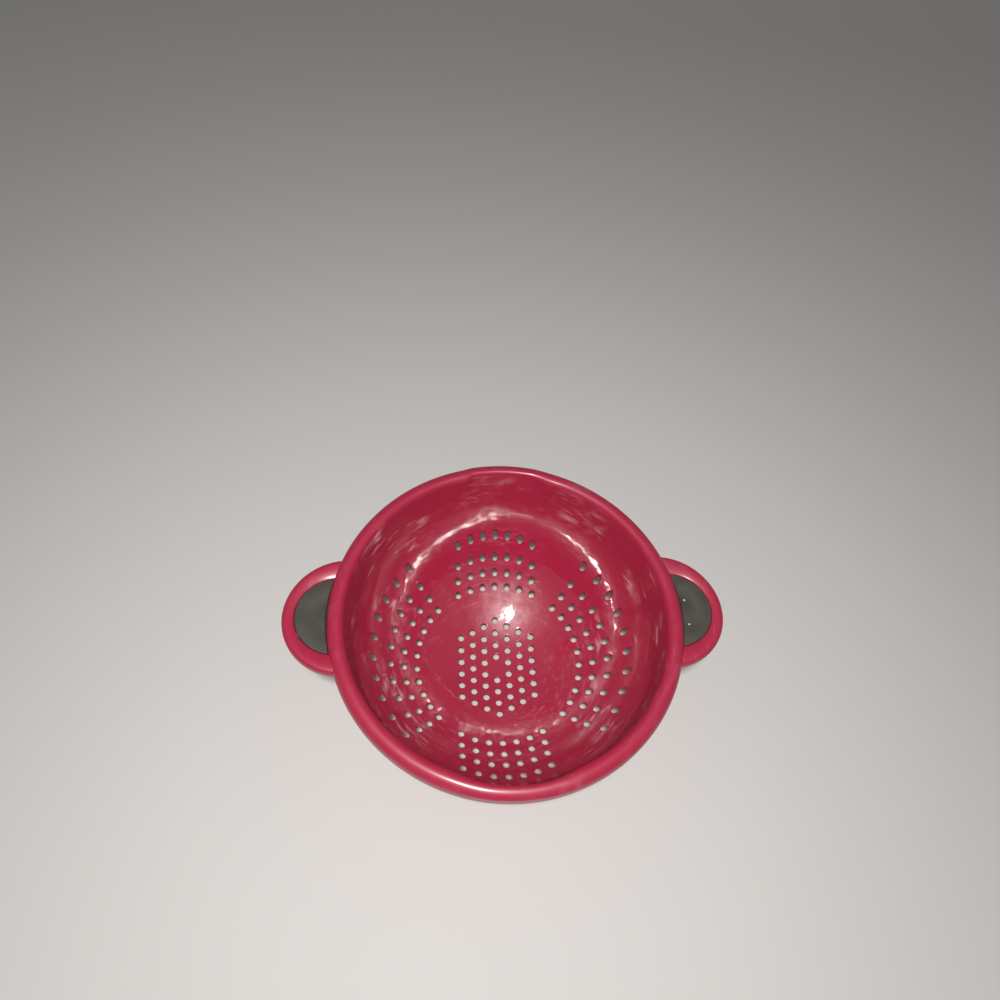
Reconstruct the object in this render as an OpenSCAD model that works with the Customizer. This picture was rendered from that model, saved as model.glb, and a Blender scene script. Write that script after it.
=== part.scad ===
// Two-handled kitchen colander: a drilled round bowl with a rolled-over rim, a loop handle
// on each side filled with a soft grip, and a notched foot ring that it stands on.
// Millimetres. Z points up, X runs through the two handles, and the origin lies on the
// table under the middle of the bowl. The drain holes all run straight up and down.

/* [Bowl] */
// Radius of curvature of the domed base, inside
dome_radius = 121; // [116:0.5:128]
// Radius of curvature of the wall, inside
wall_radius = 101; // [97:0.5:106]
// Angle of the wall off upright where it meets the rim
wall_lean = 7.5; // [5:0.5:10]
// Depth from the top of the rim to the middle of the base, inside
bowl_depth = 121; // [115:1:130]
// Thickness of the bowl and of the rim
wall = 2.2; // [1.8:0.1:2.6]

/* [Rim] */
// Bend of the rim on the inside, over the top of the wall
lip_radius = 5; // [4:0.25:6]
// Bend of the rim on the outside, down into its skirt
edge_radius = 7; // [6:0.25:8]

/* [Drain holes] */
// Diameter of every drain hole
hole_diameter = 5.2; // [4:0.1:6]
// Gap between the foot ring and the middle of the lowest row of wall holes
foot_to_holes = 9.4; // [7:0.1:12]
// Step outwards from one row of wall holes to the next
row_pitch = 10.2; // [9:0.1:11]
// Extra step outwards to the top row
top_row_extra = 2; // [0:0.1:3]
// Angle between neighbouring holes of the groups under the handles
fan_pitch = 9.5; // [8.5:0.1:10.5]
// Number of holes in a row under a handle
fan_columns = 10; // [6:1:10]
// Sideways step between the columns of the front and back groups
column_pitch = 10.75; // [9:0.05:11.5]
// Number of columns in the front and back groups
block_columns = 7; // [5:1:7]
// Sideways step between the columns of the base group
base_column_pitch = 10; // [8.5:0.1:10.5]
// Step between the holes of one column of the base group
base_hole_pitch = 10.2; // [8.5:0.1:10.5]
// Number of columns in the base group, an odd number
base_columns = 7; // [5:2:7]
// Number of places in the middle column of the base group, an odd number
base_longest = 9; // [7:2:9]

/* [Handles] */
// How far a loop stands out past the rim
loop_reach = 31; // [28:0.5:36]
// Radius of the outer outline of a loop
loop_radius = 43.5; // [40:0.5:47]
// Radius of the opening in a loop
opening_radius = 28.7; // [26:0.1:30]
// Width of the bar at the tip of a loop
tip_width = 8.6; // [7.5:0.1:10]
// Thickness of a loop
loop_thickness = 9.5; // [8.5:0.1:12]
// Drop from the top of the rim to the top of a loop
loop_drop = 3.5; // [3:0.1:5]
// Rounding of the outer edges of a loop
loop_round = 3.5; // [2:0.1:4]

/* [Grips] */
// Gap between a grip and what holds it
grip_clearance = 0.15; // [0.1:0.05:0.3]
// Depth of a grip's faces below those of its loop
grip_recess = 0.5; // [0.2:0.1:0.8]
// Height of the tongue round a grip that keys into its loop
tongue_height = 3; // [2:0.1:4]
// Depth of that tongue
tongue_depth = 1.2; // [0.8:0.1:1.8]
// Radius of the thumb dish in a grip
dish_radius = 22; // [18:0.5:24]
// Depth of the thumb dish
dish_depth = 2; // [1:0.1:2.5]

/* [Foot ring] */
// Outer radius of the foot ring
foot_radius = 58; // [55:0.5:60]
// Thickness of the foot ring
foot_wall = 2.5; // [2:0.1:3.5]
// Height of the bowl's lowest point above the table
foot_height = 6; // [5:0.5:10]
// Number of drain notches round the foot
notch_count = 8; // [4:1:12]
// Radius of a drain notch
notch_radius = 4; // [2.5:0.1:5]

/* [Hidden] */
$fn = 96;

crimson = [0.63, 0.12, 0.22];
grey = [0.33, 0.33, 0.30];

// Overrun of every cut past the face that it opens
over = 1;

// Heights of the inside of the base and of the top of the rim
base_z = foot_height + wall;
top_z = base_z + bowl_depth;

// Sines of the slopes at the two joints of the bowl's section: where the dome runs into the wall,
// and where the top of the wall starts. Both have a short exact cosine too, 0.8 and 0.28, so the
// corners there come out exact and leave no hairline step in the wall.
dome_share = 0.6;
top_share = 0.96;

// The wall leaves the dome along the dome's own slope, so the two curves flow together
dome_angle = asin(dome_share);
top_angle = asin(top_share);
wall_angle = 90 - wall_lean;
dome_centre = [0, base_z + dome_radius];
wall_centre = dome_centre + (dome_radius - wall_radius) * heading(dome_angle);
wall_end = wall_centre + wall_radius * heading(wall_angle);

// The straight top of the wall ends where the lip begins to bend
lip_start_z = top_z - lip_radius + lip_radius * cos(wall_angle);
lip_start = [wall_end.x + (lip_start_z - wall_end.y) * tan(wall_lean), lip_start_z];
lip_centre = lip_start + lip_radius * heading(wall_angle);
edge_centre = [lip_centre.x, top_z - edge_radius];
rim_radius = edge_centre.x + edge_radius;

// The straight top of the wall, and the steps and the overlap of the curve drawn just below it
straight_length = (lip_start_z - wall_end.y) / cos(wall_lean);
top_steps = 9;
overlap_angle = 1;

// The loops lie level, and the skirt of the rim ends flush with their underside
loop_top = top_z - loop_drop;
loop_bottom = loop_top - loop_thickness;
loop_centre = rim_radius + loop_reach - loop_radius;
opening_centre = rim_radius + loop_reach - tip_width - opening_radius;
tongue_bottom = loop_bottom + (loop_thickness - tongue_height) / 2;

// The rows of wall holes start just outside the foot ring
wall_rows = 4;
row_start = foot_radius + foot_to_holes;

// The unit direction from a centre of curvature to the curve, at an angle from straight down
function heading(angle) = [sin(angle), -cos(angle)];

// The radius of one row of wall holes, the top row a little further out
function row_radius(row) = row_start + row * row_pitch + (row == wall_rows - 1 ? top_row_extra : 0);

// A bent strip of the wall's thickness in section, about a centre, between two headings
module bend(centre, inner, from, to) {
    outer = inner + wall;
    reach = 2 * outer;
    intersection() {
        difference() {
            translate(centre) circle(outer);
            translate(centre) circle(inner);
        }
        polygon([centre, centre + reach * heading(from), centre + reach * heading(to)]);
    }
}

// A rounded corner: a quarter of a disc, kept to one side of its centre
module quarter(radius, side) {
    intersection() {
        circle(radius);
        mirror([0, side < 0 ? 1 : 0]) square(radius + over);
    }
}

// The last of the wall's curve and its straight top, as one outline drawn point by point. Its
// first point lies inside the curved wall below, so that the two overlap.
module wall_top_section() {
    angles = [for (i = [0 : top_steps]) top_angle + (wall_angle - top_angle) * i / top_steps];
    inside = [for (angle = angles) wall_centre + wall_radius * heading(angle)];
    outside = [for (angle = angles) wall_centre + (wall_radius + wall) * heading(angle)];
    buried = wall_centre + (wall_radius + wall / 2) * heading(top_angle - overlap_angle);
    rise = straight_length * heading(wall_angle + 90);
    polygon(concat(
        [buried],
        outside,
        [outside[top_steps] + rise, inside[top_steps] + rise],
        [for (i = [top_steps : -1 : 0]) inside[i]]
    ));
}

// Half the bowl's section: the dome, the curved wall, and the top of the wall
module bowl_section() {
    bend(dome_centre, dome_radius, 0, dome_angle);
    bend(wall_centre, wall_radius, dome_angle, top_angle);
    wall_top_section();
}

// The rim's section: over the top of the wall, out, and down into a skirt
module rim_section() {
    straight_up = 180;
    bend(lip_centre, lip_radius - wall, straight_up, straight_up + wall_angle);
    bend(edge_centre, edge_radius - wall, 90, straight_up);
    translate([rim_radius - wall, loop_bottom]) square([wall, edge_centre.y - loop_bottom]);
}

// Everything inside the rim's outer surface, as a solid to cut the loops with
module rim_envelope() {
    rotate_extrude() {
        translate([0, loop_bottom - over]) square([rim_radius, edge_centre.y - loop_bottom + over]);
        translate([0, edge_centre.y]) square([edge_centre.x, edge_radius]);
        translate(edge_centre) quarter(edge_radius, 1);
    }
}

// The ball whose lower side is the underside of the dome, which shapes the top of the foot ring
module dome_ball() {
    translate([0, 0, dome_centre.y]) sphere(dome_radius + wall);
}

// One upright drain hole, cut right through the wall at a place seen from above
module drain_hole(place) {
    translate([place.x, place.y, 0]) cylinder(h = top_z, d = hole_diameter);
}

// The holes under a handle: rows on circles about the bowl's middle
module fan_holes() {
    for (row = [0 : wall_rows - 1], column = [0 : fan_columns - 1]) {
        angle = (column - (fan_columns - 1) / 2) * fan_pitch;
        drain_hole(row_radius(row) * [cos(angle), sin(angle)]);
    }
}

// The holes at the front or back: straight columns, with each row the lowest row's arc moved out
module block_holes() {
    for (row = [0 : wall_rows - 1], column = [0 : block_columns - 1]) {
        aside = (column - (block_columns - 1) / 2) * column_pitch;
        sag = row_start - sqrt(row_start * row_start - aside * aside);
        drain_hole([aside, row_radius(row) - sag]);
    }
}

// The staggered holes of the base, with the middle left whole
module base_holes() {
    middle = (base_columns - 1) / 2;
    for (column = [0 : base_columns - 1]) {
        places = base_longest - abs(column - middle);
        for (hole = [0 : places - 1]) {
            along = hole - (places - 1) / 2;
            if (column != middle || along != 0)
                drain_hole([(column - middle) * base_column_pitch, along * base_hole_pitch]);
        }
    }
}

// The drilled bowl, from the middle of its base up to the rim
module bowl() {
    color(crimson)
        difference() {
            rotate_extrude() bowl_section();
            base_holes();
            fan_holes();
            mirror([1, 0, 0]) fan_holes();
            block_holes();
            mirror([0, 1, 0]) block_holes();
        }
}

// The rolled-over rim with its skirt
module rim() {
    color(crimson) rotate_extrude() rim_section();
}

// The foot ring, shaped to the dome above it and notched so that water runs out
module foot_ring() {
    color(crimson)
        difference() {
            cylinder(h = base_z + dome_radius - dome_radius * cos(dome_angle), r = foot_radius);
            translate([0, 0, -over])
                cylinder(h = dome_radius, r = foot_radius - foot_wall);
            dome_ball();
            for (notch = [0 : notch_count - 1])
                rotate([0, 90, (notch + 1 / 2) * 360 / notch_count])
                    cylinder(h = foot_radius + over, r = notch_radius);
        }
}

// The outline of a loop as a thick disc with rounded edges, before it is opened out
module loop_disc() {
    corner = loop_radius - loop_round;
    rotate_extrude() {
        square([corner, loop_thickness]);
        translate([corner, loop_round]) square([loop_round, loop_thickness - 2 * loop_round]);
        translate([corner, loop_round]) quarter(loop_round, -1);
        translate([corner, loop_thickness - loop_round]) quarter(loop_round, 1);
    }
}

// A loop handle on the +X side, with a groove round its opening for the grip's tongue
module handle_loop() {
    color(crimson)
        difference() {
            translate([loop_centre, 0, loop_bottom]) loop_disc();
            translate([opening_centre, 0, loop_bottom - over])
                cylinder(h = loop_thickness + 2 * over, r = opening_radius);
            translate([opening_centre, 0, tongue_bottom])
                cylinder(h = tongue_height, r = opening_radius + tongue_depth);
            rim_envelope();
        }
}

// The soft grip that fills the loop on the +X side, dished on top for the thumb
module grip() {
    grip_bottom = loop_bottom + grip_recess;
    grip_height = loop_thickness - 2 * grip_recess;
    grip_radius = opening_radius - grip_clearance;
    dish_curve = (dish_radius * dish_radius + dish_depth * dish_depth) / (2 * dish_depth);
    color(grey)
        difference() {
            union() {
                translate([opening_centre, 0, grip_bottom]) cylinder(h = grip_height, r = grip_radius);
                translate([opening_centre, 0, tongue_bottom + grip_clearance])
                    cylinder(h = tongue_height - 2 * grip_clearance, r = grip_radius + tongue_depth);
            }
            translate([0, 0, loop_bottom - over])
                cylinder(h = loop_thickness + 2 * over, r = rim_radius + grip_clearance);
            translate([opening_centre, 0, grip_bottom + grip_height + dish_curve - dish_depth])
                sphere(dish_curve);
        }
}

module right_handle_loop() { handle_loop(); }
module left_handle_loop() { mirror([1, 0, 0]) handle_loop(); }
module right_grip() { grip(); }
module left_grip() { mirror([1, 0, 0]) grip(); }

bowl();
rim();
foot_ring();
left_handle_loop();
right_handle_loop();
left_grip();
right_grip();
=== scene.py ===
# %% [markdown]
# # A two-handled kitchen colander
#
# The colander is a glossy crimson moulding: a drilled bowl, a rolled rim, a foot ring and two
# loop handles. Each loop is filled with a soft grey grip. The solids come from the packed part,
# and this lesson dresses them: it makes the same forms again with rounded edges, drilled and
# softened holes, pouring lips and worn plastic, and keeps every size of the part.

# %% Open the packed part
import math
from bisect import bisect_left

import bmesh
import bpy
from mathutils import Matrix, Vector
from mathutils.geometry import delaunay_2d_cdt


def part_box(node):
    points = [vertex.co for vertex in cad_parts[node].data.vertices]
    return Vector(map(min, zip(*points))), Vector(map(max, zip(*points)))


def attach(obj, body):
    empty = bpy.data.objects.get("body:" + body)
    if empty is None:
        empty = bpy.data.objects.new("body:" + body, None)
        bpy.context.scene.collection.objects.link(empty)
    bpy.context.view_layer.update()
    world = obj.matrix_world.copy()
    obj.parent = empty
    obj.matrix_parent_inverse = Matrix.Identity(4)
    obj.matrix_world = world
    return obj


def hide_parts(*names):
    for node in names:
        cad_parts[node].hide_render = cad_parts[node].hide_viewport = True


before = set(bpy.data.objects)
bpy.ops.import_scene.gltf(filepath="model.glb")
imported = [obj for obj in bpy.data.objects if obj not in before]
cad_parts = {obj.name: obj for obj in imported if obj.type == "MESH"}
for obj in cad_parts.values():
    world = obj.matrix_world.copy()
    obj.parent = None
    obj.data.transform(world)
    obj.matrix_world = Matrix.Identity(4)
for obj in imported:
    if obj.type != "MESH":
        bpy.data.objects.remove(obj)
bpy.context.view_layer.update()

# %% [markdown]
# ## Sizes
#
# Everything is in metres. The outer sizes are read from the part's own boxes, so the dressed
# pieces follow it. The others are the sizes that such a moulding is drawn with: two curves that
# run into each other, one wall thickness, and small roundings on every edge.

# %% Sizes of the moulding
mm = 0.001
rim_low, rim_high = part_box("rim")
top_z, rim_radius, skirt_z = rim_high.z, rim_high.x, rim_low.z
foot_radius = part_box("foot_ring")[1].x
loop_low, loop_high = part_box("right_handle_loop")

wall, bowl_depth = 2.2 * mm, 121 * mm
dome_radius, wall_radius = 121 * mm, 101 * mm
dome_share = 0.6  # sine of the angle at which the dome runs into the wall
wall_lean = math.radians(7.5)
lip_radius, edge_radius = 5 * mm, 7 * mm
base_z = top_z - bowl_depth

dome_z = base_z + dome_radius
wall_x = (dome_radius - wall_radius) * dome_share
wall_z = dome_z - (dome_radius - wall_radius) * math.sqrt(1 - dome_share**2)
print("the bowl is", round(bowl_depth / mm, 1), "mm deep inside")

# %% [markdown]
# ## The camera
#
# The colander was seen from above and in front, a little to the left, with a wide lens, so the
# near side of the rim looks larger than the far side. A camera can be placed by eye until the
# picture looks right. Here its place and turn were worked out from the places of 186 drain holes
# in the picture, because then the rim, the base and the handles all fall where they should.

# %% Camera
camera_place = Vector((-50.4, -210.05, 590.1)) * mm
camera_right = Vector((0.99602, -0.05248, 0.0721))
camera_up = Vector((0.00435, 0.83612, 0.54853))
camera_back = Vector((-0.08907, -0.54603, 0.83302))
focal_pixels, picture_pixels, sensor_mm = 709.36, 1000, 36
clip_near, clip_far = 0.01, 50


def place_camera():
    """A pinhole camera turned so that its axes are the three directions above."""
    data = bpy.data.cameras.new("camera")
    data.sensor_width = sensor_mm
    data.lens = focal_pixels / picture_pixels * sensor_mm
    data.clip_start, data.clip_end = clip_near, clip_far
    camera = bpy.data.objects.new("camera", data)
    bpy.context.scene.collection.objects.link(camera)
    turn = Matrix((camera_right, camera_up, camera_back)).transposed()
    camera.matrix_world = Matrix.Translation(camera_place) @ turn.to_4x4()
    bpy.context.scene.camera = camera
    return camera


camera = place_camera()
bpy.context.scene.view_settings.view_transform = "Standard"
print("lens", round(camera.data.lens, 2), "mm")

# %% [markdown]
# ## Helpers
#
# Most pieces here are swept or turned by a formula that gives lines of points. One helper joins
# neighbouring lines by faces. Another turns points and faces into an object: it merges doubles,
# points the faces outwards, and shades the surface smooth while corners sharper than 50 degrees
# stay sharp. The last is a short hand for node trees. They could be clicked together by hand, but
# written ones can be read and changed like the rest.


# %% Faces between lines of points
def grid_faces(lines, points, start=0, close_lines=False, close_points=True):
    """Four-sided faces between neighbouring lines, which all have the same number of points."""
    faces = []
    for line in range(lines if close_lines else lines - 1):
        here, there = start + line * points, start + (line + 1) % lines * points
        for k in range(points if close_points else points - 1):
            beside = (k + 1) % points
            faces.append((here + k, here + beside, there + beside, there + k))
    return faces


print("two lines of three points, not closed:", grid_faces(2, 3, close_points=False))

# %% A mesh from points and faces
sharp_angle = math.radians(50)


def mesh_object(name, verts, faces, merge=1e-7):
    """A new object at the origin from points and faces, with merged doubles and faces outwards."""
    mesh = bpy.data.meshes.new(name)
    mesh.from_pydata([tuple(v) for v in verts], [], faces)
    shape = bmesh.new()
    shape.from_mesh(mesh)
    bmesh.ops.remove_doubles(shape, verts=shape.verts, dist=merge)
    bmesh.ops.recalc_face_normals(shape, faces=shape.faces)
    open_edges = sum(len(edge.link_faces) != 2 for edge in shape.edges)
    shape.to_mesh(mesh)
    shape.free()
    mesh.polygons.foreach_set("use_smooth", [True] * len(mesh.polygons))
    mesh.set_sharp_from_angle(angle=sharp_angle)
    made = bpy.data.objects.new(name, mesh)
    bpy.context.scene.collection.objects.link(made)
    print(name, "has", len(mesh.polygons), "faces and", open_edges, "open edges")
    return made


print("corners sharper than", round(math.degrees(sharp_angle)), "degrees stay sharp")


# %% A short hand for node trees
class Tree:
    """Adds nodes to a tree and feeds their inputs; a tree that is being built is called t."""

    def __init__(self, tree):
        self.tree = tree

    def feed(self, socket, value):
        """Link an input to another node, or type a plain value into it."""
        if isinstance(value, bpy.types.NodeSocket):
            self.tree.links.new(value, socket)
        elif value is not None:
            socket.default_value = value

    def feed_all(self, sockets, values):
        """The same for several inputs, by name."""
        for label, value in values.items():
            self.feed(sockets[label], value)

    def add(self, kind, *inputs, out=0, **settings):
        """One node of a kind, its inputs by order or as (name, value) pairs, and one output."""
        node = self.tree.nodes.new(kind)
        for key, value in settings.items():
            setattr(node, key, value)
        for i, value in enumerate(inputs):
            socket = node.inputs[i]
            if isinstance(value, tuple) and len(value) == 2 and isinstance(value[0], str):
                socket, value = node.inputs[value[0]], value[1]
            self.feed(socket, value)
        return node.outputs[out]

    def maths(self, operation, a, b=None, c=None):
        """One sum, difference or the like."""
        return self.add("ShaderNodeMath", a, b, c, operation=operation)

    def product(self, first, *others):
        """Everything given, multiplied."""
        for other in others:
            first = self.maths("MULTIPLY", first, other)
        return first

    def vector(self, operation, a, b=None, out="Vector"):
        """The same on places and directions."""
        return self.add("ShaderNodeVectorMath", a, b, out=out, operation=operation)

    def ramp(self, value, low, high):
        """A smooth rise from 0 at one value to 1 at another, which may be the lower one."""
        return self.add("ShaderNodeMapRange", value, low, high, interpolation_type="SMOOTHSTEP")

    def mix(self, share, first, second):
        """Two colours mixed by a share."""
        blank = [None] * 5  # the node's inputs for numbers and vectors come first
        return self.add("ShaderNodeMix", share, *blank, first, second, out=2, data_type="RGBA")

    def noise(self, place, scale, detail, roughness=0.5):
        """Soft random values from 0 to 1."""
        return self.add("ShaderNodeTexNoise", ("Vector", place), ("Scale", scale),
                        ("Detail", detail), ("Roughness", roughness))

    def group(self, tree, out=0, **values):
        """A group, with its inputs by name."""
        return self.add("ShaderNodeGroup", *values.items(), out=out, node_tree=tree)

    def bump(self, height):
        """The surface's direction, tilted as a height in metres would tilt it."""
        return self.add("ShaderNodeBump", ("Height", height), ("Distance", 1.0), out="Normal")


print("the short hand can", [word for word in vars(Tree) if not word.startswith("_")])

# %% [markdown]
# ## The floor and the light
#
# The floor is plain and pale, and bends up far behind into a backdrop, so that no horizon shows.
# The bowl was lit by one small lamp close to the camera. A large soft lamp would be kinder, but
# the bright broken ring in the bowl is that small lamp seen in the wall by way of the base, and
# only a small lamp draws it thin. An even dim surround keeps the shaded walls readable.

# %% The floor
floor_colour, floor_roughness = (0.75, 0.74, 0.73, 1), 0.8
floor_reach, floor_near, floor_bend, bend_steps = 3.0, 2.5, 1.2, 16


def new_paint(name):
    """A material with its tree and its shader."""
    paint = bpy.data.materials.new(name)
    paint.use_nodes = True
    return paint, Tree(paint.node_tree), paint.node_tree.nodes["Principled BSDF"]


def make_floor():
    """A pale floor that curves up into a backdrop."""
    rows = [(-floor_near, 0.0), (floor_bend, 0.0)]
    for i in range(1, bend_steps + 1):
        turn = math.pi / 2 * i / bend_steps
        rows.append((floor_bend * (1 + math.sin(turn)), floor_bend * (1 - math.cos(turn))))
    rows.append((2 * floor_bend, floor_bend + floor_reach))
    verts = [(x, y, z) for y, z in rows for x in (-floor_reach, floor_reach)]
    floor = mesh_object("floor", verts, grid_faces(len(rows), 2, close_points=False))
    paint, t, shader = new_paint("pale_floor")
    t.feed_all(shader.inputs, {"Base Color": floor_colour, "Roughness": floor_roughness})
    floor.data.materials.append(paint)
    return floor


floor = make_floor()
print("the floor is", round(floor.dimensions.x, 1), "m wide")

# %% The lamp and the surround
lamp_place, lamp_aim = Vector((-77, -266, 824)) * mm, Vector((0, 0, 70)) * mm
lamp_size, lamp_watts, lamp_colour = 55 * mm, 5.8, (1.0, 0.98, 0.95)
surround_colour, surround_strength = (1.0, 0.99, 0.98, 1), 0.17


def add_lamp():
    """A square area lamp that looks at the bowl."""
    data = bpy.data.lights.new("lamp", "AREA")
    data.shape, data.size, data.energy, data.color = "SQUARE", lamp_size, lamp_watts, lamp_colour
    lamp = bpy.data.objects.new("lamp", data)
    lamp.location = lamp_place
    lamp.rotation_euler = (lamp_aim - lamp_place).to_track_quat("-Z", "Y").to_euler()
    bpy.context.scene.collection.objects.link(lamp)


def add_surround():
    """The same dim light from all sides."""
    world = bpy.data.worlds.new("surround")
    world.use_nodes = True
    sky = world.node_tree.nodes["Background"].inputs
    Tree(world.node_tree).feed_all(sky, {"Color": surround_colour, "Strength": surround_strength})
    bpy.context.scene.world = world


add_lamp()
add_surround()
print("the lamp stands", round((lamp_place - camera_place).length, 2), "m from the camera")

# %% [markdown]
# ## Worn plastic, as shader groups
#
# A used colander is glossy but not even. The moulding is slightly wavy, and years of wiping have
# left streaks that run round the bowl. A plain noise would run straight through the bowl instead,
# and a picture wrapped round it would have a seam. So the noise is laid round the upright axis:
# the direction from the axis and the distance out from it take the place of plain coordinates.
# Each effect is a group that gives out a height or a mask, and the materials decide what it does.
# A mask rises smoothly from 0 to 1 between two values, so its limits are kept as a pair. A pair
# whose second value is the smaller one makes a mask that is full near a place and fades away.


# %% Tools for shader groups
def new_group(name, inputs, outputs):
    """An empty shader group: a tree to add to, its given values, and what it hands out."""
    tree = bpy.data.node_groups.new(name, "ShaderNodeTree")
    for label, value in inputs.items():
        socket = tree.interface.new_socket(label, in_out="INPUT", socket_type="NodeSocketFloat")
        socket.default_value = value
    for label in outputs:
        tree.interface.new_socket(label, in_out="OUTPUT", socket_type="NodeSocketFloat")
    given = tree.nodes.new("NodeGroupInput").outputs
    return Tree(tree), given, tree.nodes.new("NodeGroupOutput").inputs


def object_place(t):
    """The object coordinates as a vector."""
    return t.add("ShaderNodeTexCoord", out="Object")


def plan_place(t):
    """The object coordinates with the height left out."""
    return t.vector("MULTIPLY", object_place(t), (1, 1, 0))


def axis_place_group():
    """Distance from the upright axis and height above the table, in metres."""
    t, _, out = new_group("axis_place", {}, ["Distance", "Height"])
    t.feed(out["Distance"], t.vector("LENGTH", plan_place(t), out="Value"))
    t.feed(out["Height"], t.add("ShaderNodeSeparateXYZ", object_place(t), out=2))
    return t.tree


axis_place = axis_place_group()
print(axis_place.name, "gives", [s.name for s in axis_place.interface.items_tree])

# %% Noise laid round the axis
wrapped_roughness = 0.55


def wrapped_noise_group():
    """Noise with so many waves per radian round the axis and so many per metre away from it."""
    t, given, out = new_group(
        "wrapped_noise", {"Around": 8.0, "Outwards": 60.0, "Detail": 2.0, "Seed": 0.0}, ["Value"])
    where = t.group(axis_place)
    circle = t.vector("SCALE", t.vector("NORMALIZE", plan_place(t)), ("Scale", given["Around"]))
    away = t.maths("ADD", where, where.node.outputs["Height"])
    away = t.product(away, given["Outwards"])
    lifted = t.add("ShaderNodeCombineXYZ", given["Seed"], given["Seed"], away)
    place = t.vector("ADD", circle, lifted)
    t.feed(out["Value"], t.noise(place, 1.0, given["Detail"], roughness=wrapped_roughness))
    return t.tree


wrapped_noise = wrapped_noise_group()
print(wrapped_noise.name, "has", len(wrapped_noise.nodes), "nodes")

# %% Waves, streaks and patches
round_waves = {"Around": 7.0, "Outwards": 55.0, "Detail": 1.5, "Seed": 3.1}
wiping_streaks = {"Around": 9.0, "Outwards": 260.0, "Detail": 3.0, "Seed": 7.7}
fine_scratches = {"Around": 5.0, "Outwards": 1100.0, "Detail": 2.0, "Seed": 12.3}
scratch_share = 0.25
plain_waves = {"scale": 60.0, "detail": 1.5}
skin_grain = {"scale": 1400.0, "detail": 1.0}
skin_patches = {"scale": 26.0, "detail": 3.0}
off_axis, patch_edge, streak_edge = (20 * mm, 50 * mm), (0.42, 0.66), (0.5, 0.66)


def moulded_skin_group():
    """Height of the skin in metres: slow waves of the moulding and finer wiping streaks."""
    t, given, out = new_group(
        "moulded_skin", {"Wave": 0.1 * mm, "Streak": 0.01 * mm, "Grain": 0.001 * mm},
        ["Height", "Patches", "Streaks"])
    place = object_place(t)
    # at the axis the wrapped noise draws a pinwheel, so there plain waves take its place
    round_share = t.ramp(t.group(axis_place), *off_axis)
    plain = t.noise(place, **plain_waves)
    turned = t.maths("SUBTRACT", t.group(wrapped_noise, **round_waves), plain)
    waves = t.maths("MULTIPLY_ADD", turned, round_share, plain)
    patches = t.ramp(t.noise(place, **skin_patches), *patch_edge)
    patches = t.product(patches, round_share)
    scratches = t.product(t.group(wrapped_noise, **fine_scratches), scratch_share)
    streaks = t.group(wrapped_noise, **wiping_streaks)
    streaks = t.maths("MULTIPLY_ADD", streaks, 1 - scratch_share, scratches)
    height = t.product(streaks, given["Streak"], patches)
    height = t.maths("MULTIPLY_ADD", t.noise(place, **skin_grain), given["Grain"], height)
    t.feed_all(out, {
        "Height": t.maths("MULTIPLY_ADD", waves, given["Wave"], height),
        "Patches": patches,
        "Streaks": t.product(t.ramp(streaks, *streak_edge), patches),
    })
    return t.tree


moulded_skin = moulded_skin_group()
print(moulded_skin.name, "has", len(moulded_skin.nodes), "nodes")


# %% Dust
def dust_group():
    """Mask of sparse small specks: the middles of a few cells out of many."""
    t, given, out = new_group("dust", {"Cells": 160.0, "Size": 0.12, "Share": 0.06}, ["Mask"])
    cells = t.add("ShaderNodeTexVoronoi", ("Vector", object_place(t)), ("Scale", given["Cells"]))
    pick = t.add("ShaderNodeSeparateColor", cells.node.outputs["Color"])
    chosen = t.maths("LESS_THAN", pick, given["Share"])
    near = t.maths("LESS_THAN", cells, given["Size"])
    t.feed(out["Mask"], t.product(chosen, near))
    return t.tree


dust = dust_group()
print("groups:", [g.name for g in bpy.data.node_groups])

# %% [markdown]
# ## The crimson finishes
#
# All the hard plastic is one crimson. In the bowl it is a rougher ground under a clear glossy
# coat: the coat draws the small bright lights, and the ground the haze round them. One rough
# shader would blur the lights, and one glossy shader would lose the haze. The coat is worn away
# in patches, at the back where food is tipped out, and towards the rim, and so the ring of light
# is broken. Pale streaks painted along the side walls stand in for highlights, a painted pale haze
# in the base behind its middle stands in for the glow round the lamp's highlight there, and the
# foot ring under it has left a faint ring of changed shine. The wiping streaks of wear are also
# lightened in colour, partly as painted highlight. The wear and the painted light are all inside,
# so the bowl's mesh will carry a number that says where inside is, which place alone can't tell
# on so thin a wall. The rim, the foot and the loops are handled more and shine less.

# %% What the crimson finishes share
# the second colour lightens the wiping streaks, partly wear and partly painted highlight; the third
# is the colour of painted highlights
crimson_colour, wear_and_sheen_colour = (0.42, 0.014, 0.055, 1), (0.60, 0.20, 0.25, 1)
painted_highlight_colour, speck_colour = (0.85, 0.50, 0.54, 1), (0.62, 0.62, 0.58, 1)
coat_ior, patch_roughness = 1.8, 0.10


def worn_crimson(t, wear, ground, wear_and_sheen):
    """Colour, roughness, height and worn patches of crimson with so much waviness and wear; its
    pale wiping streaks are wear, and partly painted highlight.
    """
    height = t.group(moulded_skin, out="Height", **wear)
    patches, streaks = (height.node.outputs[label] for label in ("Patches", "Streaks"))
    # the pale wiping streaks: wear, and partly painted highlight
    colour = t.mix(t.product(streaks, wear_and_sheen), crimson_colour, wear_and_sheen_colour)
    return colour, t.maths("MULTIPLY_ADD", patches, patch_roughness, ground), height, patches


print("crimson:", crimson_colour[:3])

# %% How much clear coat is left in the bowl
tipped_place, tipped_fade = (23 * mm, 100 * mm, 0), (31 * mm, 22 * mm)
bald_noise, bald_edge = {"scale": 34.0, "detail": 3.0}, (0.58, 0.68)
bald_start, bald_loss = (40 * mm, 60 * mm), 0.85
top_loss, outside_coat = 0.8, 0.4


def plan_distance(t, middle):
    """Distance in the plan from an upright line."""
    return t.vector("DISTANCE", plan_place(t), middle, out="Value")


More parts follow.
